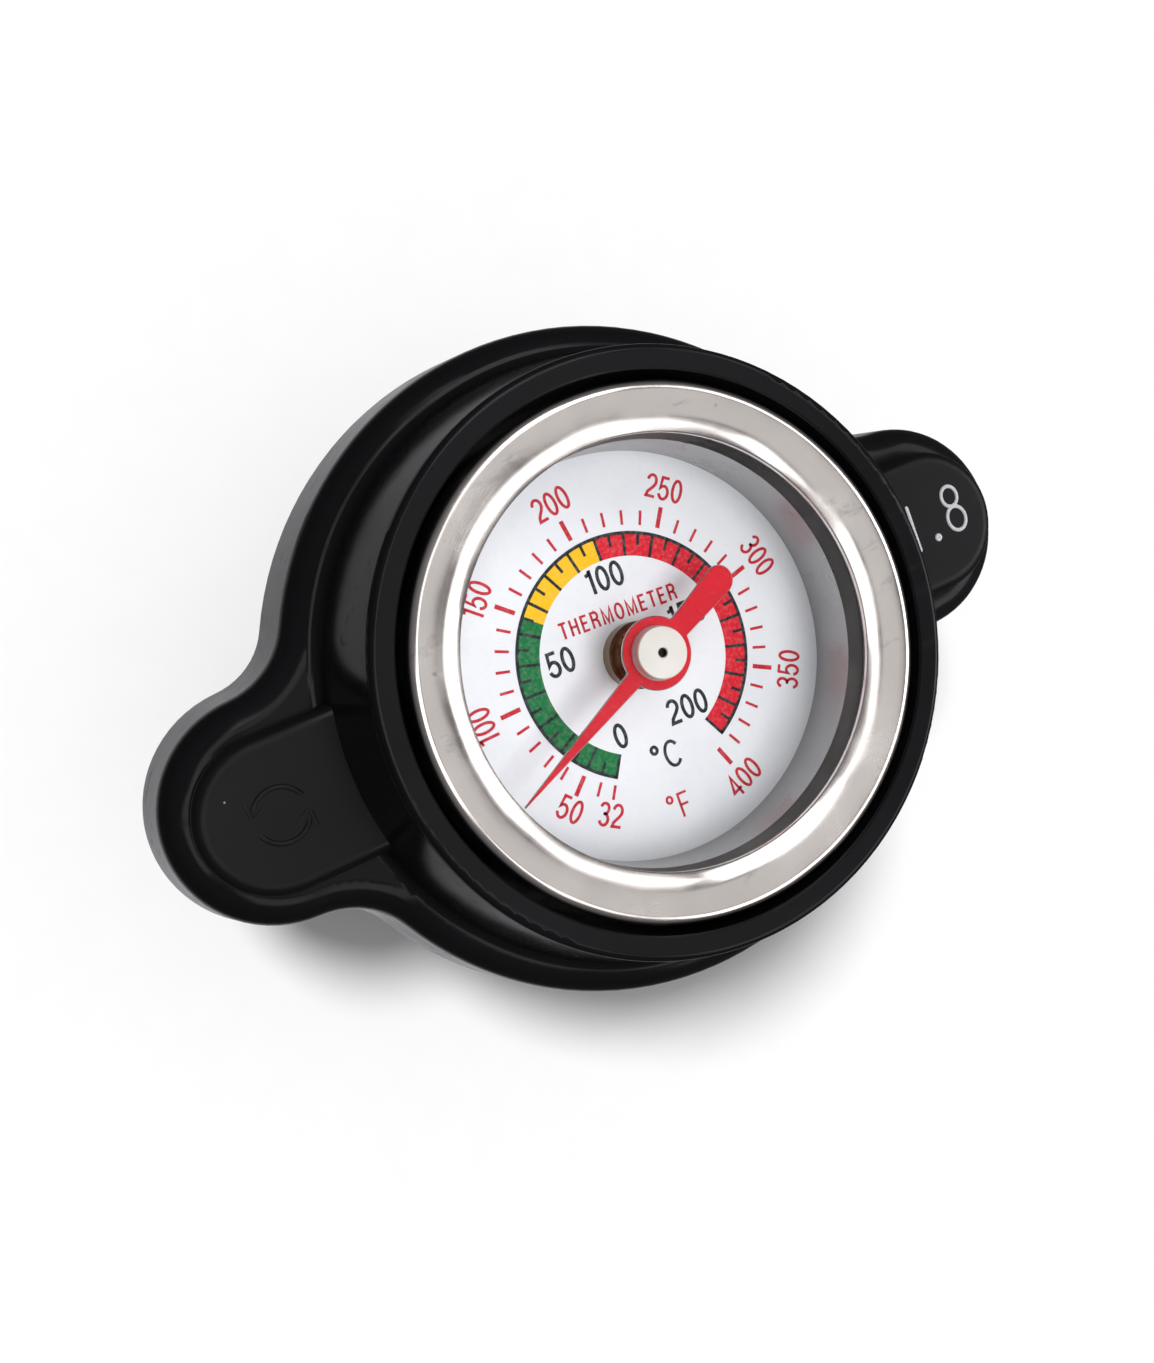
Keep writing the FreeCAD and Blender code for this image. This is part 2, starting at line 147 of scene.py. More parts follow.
def turned(name, outline, segments=ROUND, smooth_deg=28.0, closed=True):
    """Turn an outline of (radius, height) about Z. A radius of 0 makes one point on the axis."""
    profile = rounded(outline)
    verts, rows = [], []
    for r, z in profile:
        if r < 1e-6:
            rows.append([len(verts)] * segments)
            verts.append((0, 0, z))
        else:
            first = len(verts)
            rows.append([first + k for k in range(segments)])
            for k in range(segments):
                a = 2 * math.pi * k / segments
                verts.append((r * math.cos(a), r * math.sin(a), z))
    faces = []
    for i in range(len(rows) if closed else len(rows) - 1):
        low, high = rows[i], rows[(i + 1) % len(rows)]
        for k in range(segments):
            n = (k + 1) % segments
            corners = [low[k], low[n], high[n], high[k]]
            corners = [c for j, c in enumerate(corners) if c not in corners[:j]]
            if len(corners) > 2:
                faces.append(corners)
    obj = new_object(name, verts, faces)
    fix_normals(obj)
    smooth(obj, smooth_deg)
    return obj


def fix_normals(obj):
    work = bmesh.new()
    work.from_mesh(obj.data)
    bmesh.ops.recalc_face_normals(work, faces=work.faces)
    work.to_mesh(obj.data)
    work.free()


def sector(r_in, r_out, from_deg, to_deg, low, high, verts, faces, step_deg=1.5):
    """Add part of a flat ring between two angles."""
    steps = max(1, round(abs(to_deg - from_deg) / step_deg))
    angles = [math.radians(from_deg + (to_deg - from_deg) * k / steps) for k in range(steps + 1)]
    first = len(verts)
    for a in angles:
        for r in (r_in, r_out):
            for z in (low, high):
                verts.append((r * math.cos(a), r * math.sin(a), z))
    for k in range(steps):
        p, q = first + 4 * k, first + 4 * k + 4
        faces.extend([[p + 1, p + 3, q + 3, q + 1], [p, q, q + 2, p + 2],
                      [p, p + 1, q + 1, q], [p + 2, q + 2, q + 3, p + 3]])
    last = first + 4 * steps
    faces.extend([[first, first + 2, first + 3, first + 1], [last, last + 1, last + 3, last + 2]])


def ribbon(path, width, low, high, verts, faces, closed=False):
    """Add a line of even width along a flat path, with mitred corners and square ends."""
    points = [Vector(p) for p in path]
    count = len(points)
    left, right = [], []
    for i, p in enumerate(points):
        before = points[i - 1] if i or closed else None
        after = points[(i + 1) % count] if i < count - 1 or closed else None
        d0 = (p - before).normalized() if before is not None else (after - p).normalized()
        d1 = (after - p).normalized() if after is not None else d0
        side = Vector((-(d0.y + d1.y), d0.x + d1.x)).normalized()
        reach = width / 2 / max(0.4, side.dot(Vector((-d0.y, d0.x))))
        left.append(p + side * reach)
        right.append(p - side * reach)
    first = len(verts)
    for a, b in zip(left, right):
        for q in (a, b):
            verts.append((q.x, q.y, low))
            verts.append((q.x, q.y, high))
    for k in range(count if closed else count - 1):
        p, q = first + 4 * k, first + 4 * ((k + 1) % count)
        faces.extend([[p + 1, p + 3, q + 3, q + 1], [p, q, q + 2, p + 2],
                      [p, p + 1, q + 1, q], [p + 2, q + 2, q + 3, p + 3]])
    if not closed:
        last = first + 4 * (count - 1)
        faces.extend([[first, first + 2, first + 3, first + 1], [last, last + 1, last + 3, last + 2]])


# ---- pen strokes for numbers and letters ---------------------------------------------
# Each glyph is drawn with strokes on a body one unit high. A stroke is a list of points,
# and ("arc", centre x, centre y, radius x, radius y, from degrees, to degrees) adds a bend.
GLYPHS = {
    "0": (0.50, [[("arc", 0.25, 0.5, 0.185, 0.445, 90, 450)]]),
    "1": (0.34, [[(0.22, 0.0), (0.22, 0.985)], [(0.22, 0.93), (0.16, 0.82), (0.03, 0.775)]]),
    "2": (0.50, [[("arc", 0.245, 0.70, 0.185, 0.245, 172, -28), (0.33, 0.46),
                  (0.12, 0.22), (0.07, 0.05), (0.45, 0.05)]]),
    "3": (0.50, [[("arc", 0.24, 0.735, 0.17, 0.215, 165, -80), (0.20, 0.52)],
                 [(0.20, 0.52), ("arc", 0.24, 0.285, 0.185, 0.235, 80, -165)]]),
    "4": (0.52, [[(0.355, 0.0), (0.355, 0.93), (0.045, 0.29), (0.49, 0.29)]]),
    "5": (0.50, [[(0.425, 0.945), (0.125, 0.945), (0.085, 0.50),
                  ("arc", 0.235, 0.32, 0.195, 0.275, 125, -165)]]),
    "8": (0.50, [[("arc", 0.25, 0.735, 0.155, 0.215, 90, 450)],
                 [("arc", 0.25, 0.275, 0.185, 0.235, 90, 450)]]),
    "T": (0.46, [[(0.02, 0.945), (0.44, 0.945)], [(0.23, 0.0), (0.23, 0.9)]]),
    "H": (0.52, [[(0.08, 0.0), (0.08, 1.0)], [(0.44, 0.0), (0.44, 1.0)], [(0.08, 0.52), (0.44, 0.52)]]),
    "E": (0.45, [[(0.41, 0.055), (0.08, 0.055), (0.08, 0.945), (0.40, 0.945)], [(0.08, 0.52), (0.37, 0.52)]]),
    "R": (0.51, [[(0.08, 0.0), (0.08, 0.945), (0.27, 0.945),
                  ("arc", 0.27, 0.725, 0.15, 0.22, 90, -90), (0.08, 0.505)],
                 [(0.28, 0.50), (0.40, 0.38), (0.43, 0.0)]]),
    "M": (0.64, [[(0.08, 0.0), (0.08, 0.93), (0.32, 0.08), (0.56, 0.93), (0.56, 0.0)]]),
    "O": (0.54, [[("arc", 0.27, 0.5, 0.205, 0.455, 90, 450)]]),
    "C": (0.66, [[("arc", 0.34, 0.5, 0.27, 0.455, 38, 322)]]),
    "F": (0.50, [[(0.09, 0.0), (0.09, 0.945), (0.46, 0.945)], [(0.09, 0.50), (0.41, 0.50)]]),
    "deg": (0.36, [[("arc", 0.15, 0.85, 0.11, 0.13, 90, 450)]]),
    ".": (0.26, [[(0.13, 0.0), (0.13, 0.13)]]),
}
ARC_STEP = 12


def stroke_path(stroke):
    """Points of one stroke, and whether it closes on itself."""
    path = []
    for item in stroke:
        if item[0] != "arc":
            path.append(item)
            continue
        _, cx, cy, rx, ry, start, end = item
        steps = max(2, round(abs(end - start) / ARC_STEP))
        for k in range(steps + 1):
            a = math.radians(start + (end - start) * k / steps)
            path.append((cx + rx * math.cos(a), cy + ry * math.sin(a)))
    closed = len(path) > 3 and math.dist(path[0], path[-1]) < 1e-6
    return (path[:-1] if closed else path), closed


def write_text(glyphs, centre, height, turn_deg, low, high, verts, faces,
               stretch=1.0, pen=0.125, gap=0.07):
    """Add a line of glyphs whose middle lies at centre and whose base turns by turn_deg."""
    widths = [GLYPHS[g][0] * stretch for g in glyphs]
    total = sum(widths) + gap * (len(glyphs) - 1)
    along = -total / 2
    c, s = math.cos(math.radians(turn_deg)), math.sin(math.radians(turn_deg))
    for glyph, width in zip(glyphs, widths):
        for stroke in GLYPHS[glyph][1]:
            path, closed = stroke_path(stroke)
            placed = []
            for x, y in path:
                u = (along + x * stretch) * height
                v = (y - 0.5) * height
                placed.append((centre[0] + u * c - v * s, centre[1] + u * s + v * c))
            ribbon(placed, pen * height, low, high, verts, faces, closed)
        along += width + gap


# ---- node helpers --------------------------------------------------------------------
def node(tree, kind, inputs=None, **settings):
    """Add a shader node. An input's value is a number, a colour or another node's output."""
    made = tree.nodes.new("ShaderNode" + kind)
    for key, value in settings.items():
        setattr(made, key, value)
    for key, value in (inputs or {}).items():
        if isinstance(value, bpy.types.NodeSocket):
            tree.links.new(value, made.inputs[key])
        else:
            made.inputs[key].default_value = value
    return made


def math_node(tree, operation, *values):
    return node(tree, "Math", dict(enumerate(values)), operation=operation).outputs[0]


def mix_colour(tree, share, a, b):
    return node(tree, "Mix", {0: share, 6: a, 7: b}, data_type="RGBA").outputs[2]


def ramp(tree, source, low, high, start=0.0, end=1.0):
    """Map a value from low..high to start..end, held at the ends."""
    return node(tree, "MapRange", {"Value": source, "From Min": low, "From Max": high,
                                   "To Min": start, "To Max": end}).outputs[0]


def noise(tree, place, scale, detail=3.0, rough=0.55, stretch=(1.0, 1.0, 1.0)):
    """Noise over a piece in row-frame metres, stretched along an axis if asked."""
    spot = node(tree, "Mapping", {"Vector": place, "Scale": stretch}).outputs[0]
    made = node(tree, "TexNoise", {"Vector": spot, "Scale": scale, "Detail": detail, "Roughness": rough})
    return made.outputs["Fac"]


def start_material(name, **sockets):
    """A material with one Principled shader; returns (material, tree, shader, coordinates)."""
    made = bpy.data.materials.new(name)
    made.use_nodes = True
    tree = made.node_tree
    tree.nodes.clear()
    shader = node(tree, "BsdfPrincipled", {k.replace("_", " "): v for k, v in sockets.items()})
    out = node(tree, "OutputMaterial")
    tree.links.new(shader.outputs[0], out.inputs["Surface"])
    place = node(tree, "TexCoord").outputs["Object"]
    return made, tree, shader, place


def bump(tree, shader, height, distance, strength=1.0, under=None):
    """Bump on the shader from a height of 0..1 that stands for distance in metres."""
    inputs = {"Height": height, "Distance": distance, "Strength": strength}
    if under is not None:
        inputs["Normal"] = under
    made = node(tree, "Bump", inputs).outputs[0]
    tree.links.new(made, shader.inputs["Normal"])
    return made


def radius_of(tree, place):
    """Distance from the cap's axis, and height, in metres."""
    xyz = node(tree, "SeparateXYZ", {0: place})
    square = math_node(tree, "ADD", math_node(tree, "MULTIPLY", xyz.outputs[0], xyz.outputs[0]),
                       math_node(tree, "MULTIPLY", xyz.outputs[1], xyz.outputs[1]))
    return math_node(tree, "SQRT", square), xyz.outputs[2]


def lathe_lines(tree, place, per_metre):
    """Fine circular tool marks: noise that changes with radius and height only."""
    r, z = radius_of(tree, place)
    spot = node(tree, "CombineXYZ", {0: r, 1: z}).outputs[0]
    made = node(tree, "TexNoise", {"Vector": spot, "Scale": per_metre, "Detail": 2.0, "Roughness": 0.7})
    return made.outputs["Fac"]


# ---- materials -----------------------------------------------------------------------
def black_plastic():
    """Glossy moulding: slow ripples, handling marks, specks of dust, satin tops on the ears."""
    mat, tree, shader, place = start_material("black_plastic", Base_Color=(0.012, 0.012, 0.013, 1),
                                              Roughness=0.2, Specular_IOR_Level=0.17)
    flow = noise(tree, place, 45.0, 3.0, 0.5, (1.0, 1.6, 0.8))
    handling = noise(tree, place, 260.0, 4.0, 0.65)
    scuffs = noise(tree, place, 900.0, 2.0, 0.6, (0.08, 1.0, 1.0))
    worn = ramp(tree, scuffs, 0.60, 0.72)
    colour = mix_colour(tree, ramp(tree, flow, 0.3, 0.7),
                        (0.0035, 0.0035, 0.004, 1), (0.006, 0.006, 0.007, 1))
    dust = node(tree, "TexVoronoi", {"Vector": place, "Scale": 420.0}).outputs["Distance"]
    speck = math_node(tree, "MULTIPLY", ramp(tree, dust, 0.035, 0.015), ramp(tree, handling, 0.56, 0.60))
    colour = mix_colour(tree, speck, colour, (0.30, 0.30, 0.30, 1))
    tree.links.new(colour, shader.inputs["Base Color"])
    xyz = node(tree, "SeparateXYZ", {0: place})
    on_ear = ramp(tree, math_node(tree, "ABSOLUTE", xyz.outputs[0]), 0.0195, 0.0215)
    on_top = ramp(tree, xyz.outputs[2], (PAD_Z - 0.25) * MM, (PAD_Z - 0.05) * MM)
    satin = math_node(tree, "MULTIPLY", math_node(tree, "MULTIPLY", on_ear, on_top), 0.20)
    rough = math_node(tree, "ADD", ramp(tree, handling, 0.3, 0.7, 0.13, 0.20),
                      math_node(tree, "MULTIPLY", worn, 0.10))
    rough = math_node(tree, "ADD", rough, satin)
    rough = math_node(tree, "ADD", rough, math_node(tree, "MULTIPLY", speck, 0.4))
    tree.links.new(rough, shader.inputs["Roughness"])
    ripple = bump(tree, shader, flow, 0.00012, 0.35)
    bump(tree, shader, handling, 0.00001, 0.25, ripple)
    return mat


def shade_of(tint, share):
    """The same colour with less light in it."""
    return tuple(c * share for c in tint[:3]) + (1,)


def polished_metal(name, tint, rough, wave, lines_per_metre, line_depth, metallic=1.0):
    """Polished metal: tool marks, cloudy polish, smears, small pits and a slow waviness."""
    mat, tree, shader, place = start_material(name, Base_Color=tint, Metallic=metallic, Roughness=rough)
    cloud = noise(tree, place, 160.0, 4.0, 0.6)
    lines = lathe_lines(tree, place, lines_per_metre)
    colour = mix_colour(tree, ramp(tree, cloud, 0.25, 0.75), shade_of(tint, 0.86), tint)
    smear = ramp(tree, noise(tree, place, 240.0, 6.0, 0.7, (1.0, 2.2, 1.0)), 0.60, 0.72, 0.0, 0.45)
    cells = node(tree, "TexVoronoi", {"Vector": place, "Scale": 330.0}).outputs["Distance"]
    pits = ramp(tree, cells, 0.055, 0.035, 0.0, 0.6)
    marks = math_node(tree, "MAXIMUM", smear, pits)
    colour = mix_colour(tree, marks, colour, shade_of(tint, 0.45))
    tree.links.new(colour, shader.inputs["Base Color"])
    polish = math_node(tree, "ADD", ramp(tree, cloud, 0.3, 0.7, rough * 0.6, rough * 1.4),
                       ramp(tree, lines, 0.3, 0.8, -0.02, 0.05))
    tree.links.new(polish, shader.inputs["Roughness"])
    slow = noise(tree, place, 75.0, 2.0, 0.5)
    waves = bump(tree, shader, slow, wave)
    bump(tree, shader, lines, line_depth, 0.5, waves)
    return mat


def enamel(name, tint, darker, rough):
    """Baked paint: slight orange peel and a faint change of shade."""
    mat, tree, shader, place = start_material(name, Base_Color=tint, Roughness=rough, Specular_IOR_Level=0.25,
                                              Coat_Weight=0.12, Coat_Roughness=0.12)
    shade = noise(tree, place, 220.0, 3.0)
    tree.links.new(mix_colour(tree, ramp(tree, shade, 0.3, 0.7), tint, darker), shader.inputs["Base Color"])
    peel = noise(tree, place, 2600.0, 2.0)
    tree.links.new(ramp(tree, peel, 0.3, 0.7, rough * 0.85, rough * 1.15), shader.inputs["Roughness"])
    bump(tree, shader, peel, 0.000004, 0.4)
    return mat


def printed_ink(name, tint):
    """Screen-printed ink: thin, slightly uneven cover."""
    mat, tree, shader, place = start_material(name, Base_Color=tint, Roughness=0.45, Specular_IOR_Level=0.22)
    cover = noise(tree, place, 3500.0, 3.0, 0.6)
    lighter = tuple(c + (0.8 - c) * 0.10 for c in tint[:3]) + (1,)
    colour = mix_colour(tree, ramp(tree, cover, 0.45, 0.75), tint, lighter)
    tree.links.new(colour, shader.inputs["Base Color"])
    tree.links.new(ramp(tree, cover, 0.3, 0.7, 0.38, 0.52), shader.inputs["Roughness"])
    bump(tree, shader, cover, 0.000003, 0.5)
    return mat


def rubber(name, dark, bloomed):
    """Fine-grained rubber with a cloudy bloom."""
    mat, tree, shader, place = start_material(name, Base_Color=dark, Roughness=0.6)
    bloom = noise(tree, place, 300.0, 4.0, 0.6)
    grain = noise(tree, place, 4000.0, 2.0, 0.6)
    tree.links.new(mix_colour(tree, ramp(tree, bloom, 0.4, 0.75), dark, bloomed),
                   shader.inputs["Base Color"])
    tree.links.new(ramp(tree, bloom, 0.3, 0.7, 0.5, 0.75), shader.inputs["Roughness"])
    bump(tree, shader, grain, 0.00002, 0.5)
    return mat


def clear_glass():
    """Thin clear pane that shows what is behind it, with a faint mirror image on top."""
    mat, tree, shader, place = start_material("glass", Base_Color=(0.02, 0.02, 0.02, 1),
                                              Roughness=0.03, IOR=1.5)
    smear = noise(tree, place, 120.0, 3.0, 0.6)
    tree.links.new(ramp(tree, smear, 0.3, 0.7, 0.015, 0.05), shader.inputs["Roughness"])
    through = node(tree, "BsdfTransparent", {"Color": (0.985, 0.99, 0.985, 1)})
    share = math_node(tree, "MULTIPLY", node(tree, "Fresnel", {"IOR": 1.45}).outputs[0], 0.25)
    both = node(tree, "MixShader", {0: share, 1: through.outputs[0], 2: shader.outputs[0]})
    tree.links.new(both.outputs[0], tree.nodes["Material Output"].inputs["Surface"])
    return mat


def srgb(r, g, b):
    """Linear colour for an sRGB colour given in 0..255."""
    def one(v):
        v /= 255.0
        return v / 12.92 if v <= 0.04045 else ((v + 0.055) / 1.055) ** 2.4
    return (one(r), one(g), one(b), 1.0)


MATERIALS = {
    "black_plastic": black_plastic(),
    "polished_steel": polished_metal("polished_steel", (0.90, 0.835, 0.80, 1), 0.20, 0.00045, 9000.0,
                                     0.000002),
    "satin_aluminium": polished_metal("satin_aluminium", (0.46, 0.45, 0.45, 1), 0.34, 0.00020, 2600.0,
                                      0.00002),
    "stainless": polished_metal("stainless", (0.62, 0.60, 0.58, 1), 0.28, 0.00003, 12000.0, 0.000006),
    "zinc_steel": polished_metal("zinc_steel", (0.62, 0.63, 0.64, 1), 0.34, 0.00006, 5000.0, 0.000005),
    "spring_steel": polished_metal("spring_steel", (0.46, 0.46, 0.47, 1), 0.3, 0.00002, 16000.0, 0.000006),
    "bimetal": polished_metal("bimetal", (0.55, 0.47, 0.38, 1), 0.35, 0.00002, 16000.0, 0.000006),
    "brass": polished_metal("brass", (0.28, 0.18, 0.11, 1), 0.30, 0.00002, 14000.0, 0.000008),
    "nickel": polished_metal("nickel", (0.98, 0.92, 0.88, 1), 0.46, 0.00001, 5000.0, 0.00001, 0.7),
    "dial_white": enamel("dial_white", srgb(238, 238, 244), srgb(231, 231, 239), 0.3),
    "pointer_red": enamel("pointer_red", srgb(208, 26, 44), srgb(196, 20, 38), 0.25),
    # dimple_shade: a dark metal that paints the shade inside the pin's dimple
    "dimple_shade": polished_metal("dimple_shade", (0.05, 0.04, 0.035, 1), 0.3, 0.00001, 9000.0, 0.000002),
    "cut_edge": polished_metal("cut_edge", (0.90, 0.78, 0.76, 1), 0.35, 0.00001, 9000.0, 0.000002),
    "black_rubber": rubber("black_rubber", (0.016, 0.016, 0.016, 1), (0.05, 0.05, 0.048, 1)),
    "grey_seal": rubber("grey_seal", (0.20, 0.20, 0.20, 1), (0.28, 0.28, 0.28, 1)),
    "glass": clear_glass(),
}
INKS = {
    "red": printed_ink("ink_red", srgb(196, 34, 52)),
    "black": printed_ink("ink_black", srgb(34, 40, 46)),
    "band_red": printed_ink("ink_band_red", srgb(214, 26, 46)),
    "yellow": printed_ink("ink_yellow", srgb(246, 190, 14)),
    "green": printed_ink("ink_green", srgb(18, 112, 60)),
    "grey": printed_ink("rating_light_grey", srgb(175, 176, 180)),
}


# ---- CAD nodes get their finish ------------------------------------------------------
def finish_nodes():
    slots = {part["node"]: part["material_slot"] for part in frame["record"]["subparts"]}
    for name, obj in frame["nodes"].items():
        obj.data.materials.clear()
        obj.data.materials.append(MATERIALS[slots[name]])


# ---- pieces --------------------------------------------------------------------------
def place_piece(obj, body, material, stands_for=()):
    """Finish a new piece: its material, body and the CAD nodes that it stands for."""
    obj.data.materials.append(material)
    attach(obj, body)
    if stands_for:
        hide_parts(*stands_for)
    return obj


def build_bezel():
    top = BEZEL_Z
    obj = turned("bezel", [
        (BEZEL_R, 9.95), (BEZEL_R, top - 0.7), (BEZEL_R - 0.22, top - 0.2, "mid"), (16.17, top),
        (14.95, top - 0.05), (13.75, top - 0.47), (LIP_R, top - 0.55), (LIP_R, top - LIP_DROP),
        (16.42, top - LIP_DROP), (16.42, 10.45), (16.0, 10.45), (16.0, 10.1), (16.15, 9.95)], 384)
    place_piece(obj, "cap", MATERIALS["polished_steel"], ["bezel_ring"])


def build_spacer():
    low, high, outer = DIAL_Z + 0.02, LENS_LOW - 0.05, 15.5
    obj = turned("spacer", [
        (SIGHT_R, low), (outer, low), (outer, high), (SIGHT_R + 0.65, high), (SIGHT_R, high - 0.75)], 384)
    place_piece(obj, "cap", MATERIALS["satin_aluminium"], ["spacer_ring"])


def build_lens():
    obj = turned("lens", [
        (0, LENS_LOW), (LENS_R, LENS_LOW), (LENS_R, LENS_HIGH - 0.1), (LENS_R - 0.1, LENS_HIGH),
        (0, LENS_HIGH)])
    place_piece(obj, "cap", MATERIALS["glass"], ["lens_glass"])


def build_lens_gasket():
    low, high, inner = LENS_HIGH + 0.01, BEZEL_Z - LIP_DROP - 0.01, 13.78
    obj = turned("lens_seal", [(inner, low), (LENS_R, low), (LENS_R, high), (inner, high)])
    place_piece(obj, "cap", MATERIALS["grey_seal"], ["lens_gasket"])


def scale_angle(celsius):
    """Direction of a temperature on the dial, in degrees from +X."""
    return 90.0 + (100.0 - celsius) * DEG_PER_C + DIAL_TURN


def fahrenheit(value):
    return scale_angle((value - 32.0) / 1.8)


def ink_piece(name, ink, verts, faces):
    place_piece(new_object(name, verts, faces), "cap", INKS[ink])


def radial_tick(angle_deg, r_in, r_out, width, layer, verts, faces):
    low = DIAL_Z + INK_T * layer
    ribbon([polar(r_in, angle_deg), polar(r_out, angle_deg)], width, low, low + INK_T, verts, faces)


def build_bands():
    for name, start, end in (("green", 0, 65), ("yellow", 65, 100), ("band_red", 100, 200)):
        verts, faces = [], []
        sector(BAND_IN, BAND_OUT, scale_angle(end), scale_angle(start), DIAL_Z, DIAL_Z + INK_T, verts, faces)
        ink_piece("dial_band_" + name, name, verts, faces)
    verts, faces = [], []
    low = DIAL_Z + INK_T
    sector(BAND_OUT - 0.04, BAND_LINE, scale_angle(200), scale_angle(0), low, low + INK_T, verts, faces)
    width = 0.20
    for c in range(0, 201, 5):
        if c in (0, 200):
            radial_tick(scale_angle(c), BAND_IN, BAND_LINE, width, 1, verts, faces)
        elif c % 10 == 0:
            radial_tick(scale_angle(c), BAND_IN, BAND_OUT, width, 1, verts, faces)
        else:
            radial_tick(scale_angle(c), BAND_IN + 0.72, BAND_OUT, width, 1, verts, faces)
    ink_piece("dial_band_lines", "black", verts, faces)


def build_fahrenheit_ticks():
    verts, faces = [], []
    for f in [32] + list(range(40, 401, 10)):
        if f % 50 == 0:
            radial_tick(fahrenheit(f), 8.72, 10.15, 0.30, 0, verts, faces)
        else:
            radial_tick(fahrenheit(f), 8.72, 9.69, 0.19, 0, verts, faces)
    ink_piece("dial_fahrenheit_ticks", "red", verts, faces)


def build_red_numbers():
    verts, faces = [], []
    high = DIAL_Z + INK_T
    for f in (100, 150, 200, 250, 300):
        a = fahrenheit(f)
        write_text(str(f), polar(NUMBER_R, a), RED_TEXT, a - 90, DIAL_Z, high, verts, faces)
    for f, r in ((32, 10.7), (50, 11.1), (350, NUMBER_R), (400, NUMBER_R)):
        a = fahrenheit(f)
        write_text(str(f), polar(r, a), RED_TEXT, a + 90, DIAL_Z, high, verts, faces)
    ink_piece("dial_fahrenheit_numbers", "red", verts, faces)


def build_black_numbers():
    verts, faces = [], []
    high = DIAL_Z + INK_T
    for text, x, y in (("0", -3.05, -4.51), ("50", -4.98, 1.59), ("100", 0.06, 5.56),
                       ("150", 4.6, 1.2), ("200", 2.16, -4.6)):
        write_text(text, (x, y), BLACK_TEXT, DIAL_TURN, DIAL_Z, high, verts, faces, stretch=1.1, pen=0.145)
    write_text(["deg", "C"], (-0.5, -7.06), 1.85, DIAL_TURN, DIAL_Z, high, verts, faces,
               stretch=1.05, pen=0.12)
    ink_piece("dial_celsius_numbers", "black", verts, faces)


def build_dial_words():
    verts, faces = [], []
    high = DIAL_Z + INK_T
    word_fall, word_length = -0.48, 8.6
    turn = math.degrees(math.atan2(word_fall, word_length))
    write_text("THERMOMETER", (0.1, 3.14), 1.1, turn, DIAL_Z, high, verts, faces,
               stretch=1.13, pen=0.15, gap=0.16)
    write_text(["deg", "F"], (-1.0, -10.5), 1.7, DIAL_TURN, DIAL_Z, high, verts, faces, stretch=1.05, pen=0.1)
    ink_piece("dial_words", "red", verts, faces)


def build_bushing():
    obj = turned("bushing", [
        (0.55, 2.0), (2.0, 2.0), (2.0, DIAL_Z + 0.01), (2.25, DIAL_Z + 0.01), (2.25, 7.2), (2.1, 7.35),
        (1.75, 7.35), (1.75, 7.8), (0.55, 7.8)], 160)
    place_piece(obj, "cap", MATERIALS["brass"], ["brass_bushing"])


def build_pin():
    """The pin's cap, with painted shade in its centre dimple."""
    top, dimple_r, dimple_depth = PIN_Z, 0.3, 0.4
    obj = turned("pin", [
        (0.0, 10.35), (0.5, 10.35), (0.5, POINTER_Z), (1.78, POINTER_Z), (1.78, POINTER_Z + 0.2),
        (1.7, POINTER_Z + 0.28), (1.7, top - 0.12), (1.67, top - 0.03, "mid"), (1.58, top),
        (dimple_r + 0.06, top), (dimple_r, top - 0.06), (dimple_r, top - dimple_depth),
        (0.0, top - dimple_depth)], 160)
    place_piece(obj, "needle", MATERIALS["nickel"], ["pointer_pin"])
    # The dimple's faces get the dark dimple_shade metal: painted shade in the hollow.
    obj.data.materials.append(MATERIALS["dimple_shade"])
    for face in obj.data.polygons:
        in_dimple = math.hypot(face.center.x, face.center.y) < (dimple_r + 0.02) * MM
        if in_dimple and face.center.z > (top - dimple_depth - 0.05) * MM:
            face.material_index = 1


def pointer_outline(inset):
    """Outline of the pointer along +X: a long blade, a disc, and a tail with a round end."""
    tip_x, tip_half = 13.1, 0.06
    blade_x, blade_half = 1.5, 0.62
    disc_r = 2.4
    tail_x, tail_r, neck_half = -6.52, 0.98, 0.72
    tip_x, tip_half = tip_x - 2 * inset, max(0.03, tip_half - inset)
    blade_half, disc_r = blade_half - inset, disc_r - inset
    tail_r, neck_half = tail_r - inset, neck_half - inset
    join_x = 2.32 - inset
    join_half = blade_half + (tip_half - blade_half) * (join_x - blade_x) / (tip_x - blade_x)
    upper = [(tip_x, tip_half), (join_x + 0.12, join_half + 0.01), (join_x, join_half + 0.04)]
    start = math.atan2(join_half + 0.04, join_x) + 0.06
    end = math.pi - math.asin((neck_half + 0.07) / disc_r)
    steps = 40
    upper += [(disc_r * math.cos(start + (end - start) * k / steps),
               disc_r * math.sin(start + (end - start) * k / steps)) for k in range(steps + 1)]
    upper.append((-disc_r - 0.05, neck_half + 0.05))
    upper += [(tail_x - tail_r * math.sin(math.pi / 2 * k / 12), tail_r * math.cos(math.pi / 2 * k / 12))
              for k in range(13)]
    return upper + [(x, -y) for x, y in reversed(upper[:-1])]


def build_pointer():
    """Stamped sheet pointer: red paint on top, the cut edge left bare."""
    low, high, edge = POINTER_Z - 0.2, POINTER_Z, 0.055
    levels = [(pointer_outline(0.0), low), (pointer_outline(0.0), high - edge), (pointer_outline(edge), high)]
    c, s = math.cos(NEEDLE_REST), math.sin(NEEDLE_REST)
    verts, faces = [], []
    for outline, z in levels:
        verts.extend((x * c - y * s, x * s + y * c, z) for x, y in outline)
    n = len(levels[0][0])
    for level in range(2):
        for k in range(n):
            a, b = level * n + k, level * n + (k + 1) % n
            faces.append([a, b, b + n, a + n])
    faces.append(list(reversed(range(n))))
    faces.append([2 * n + k for k in range(n)])
    obj = new_object("pointer_plate", verts, faces)
    fix_normals(obj)
    place_piece(obj, "needle", MATERIALS["pointer_red"], ["pointer"])
    obj.data.materials.append(MATERIALS["cut_edge"])
    for face in obj.data.polygons:
        if face.index < 2 * n:
            face.material_index = 1


